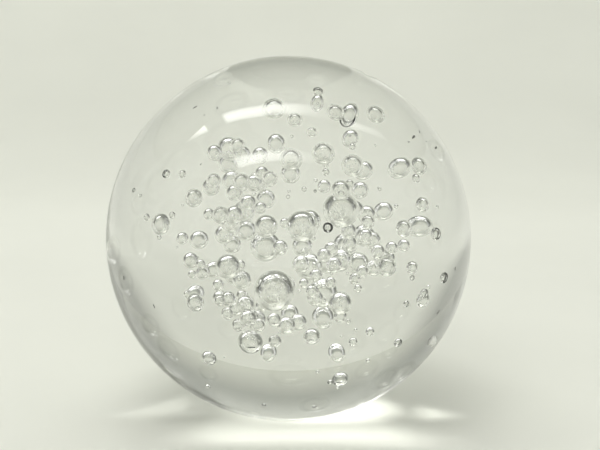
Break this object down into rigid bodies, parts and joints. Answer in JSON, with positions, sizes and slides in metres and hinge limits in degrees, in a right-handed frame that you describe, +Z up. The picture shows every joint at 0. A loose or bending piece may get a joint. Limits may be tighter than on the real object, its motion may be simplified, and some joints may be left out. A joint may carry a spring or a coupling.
{
  "type": "glass ball paperweight",
  "caption": "Solid clear glass ball paperweight with a cloud of trapped air bubbles, ground flat underneath to stand on.",
  "frame": {"origin": "middle of the ground flat that the ball stands on", "axes": "+Z up through the ball's centre, +X to the right and -Y towards the viewer that the bubble pattern is laid out for"},
  "size_m": [0.08, 0.08, 0.0771],
  "materials": {
    "casing_glass": "fire-polished, clear with a faint grey-green tint, ground satin on the flat",
    "gather_glass": "clear with a faint grey-green tint",
    "trapped_air": "mirror-smooth wall of an air bubble in glass"
  },
  "bodies": {
    "root": {"clear_casing": "casing_glass", "core_bubble_01": "trapped_air", "core_bubble_02": "trapped_air", "core_bubble_03": "trapped_air", "core_bubble_04": "trapped_air", "core_bubble_05": "trapped_air", "core_bubble_06": "trapped_air", "core_bubble_07": "trapped_air", "core_bubble_08": "trapped_air", "core_bubble_09": "trapped_air", "core_bubble_10": "trapped_air", "core_bubble_11": "trapped_air", "core_bubble_12": "trapped_air", "core_bubble_13": "trapped_air", "core_bubble_14": "trapped_air", "core_gather": "gather_glass", "middle_bubble_01": "trapped_air", "middle_bubble_02": "trapped_air", "middle_bubble_03": "trapped_air", "middle_bubble_04": "trapped_air", "middle_bubble_05": "trapped_air", "middle_bubble_06": "trapped_air", "middle_bubble_07": "trapped_air", "middle_bubble_08": "trapped_air", "middle_bubble_09": "trapped_air", "middle_bubble_10": "trapped_air", "middle_bubble_11": "trapped_air", "middle_bubble_12": "trapped_air", "middle_bubble_13": "trapped_air", "middle_bubble_14": "trapped_air", "middle_bubble_15": "trapped_air", "middle_bubble_16": "trapped_air", "middle_bubble_17": "trapped_air", "middle_bubble_18": "trapped_air", "middle_bubble_19": "trapped_air", "middle_bubble_20": "trapped_air", "middle_bubble_21": "trapped_air", "middle_bubble_22": "trapped_air", "middle_bubble_23": "trapped_air", "middle_bubble_24": "trapped_air", "middle_bubble_25": "trapped_air", "middle_bubble_26": "trapped_air", "middle_gather": "gather_glass"}
  },
  "joints": []
}
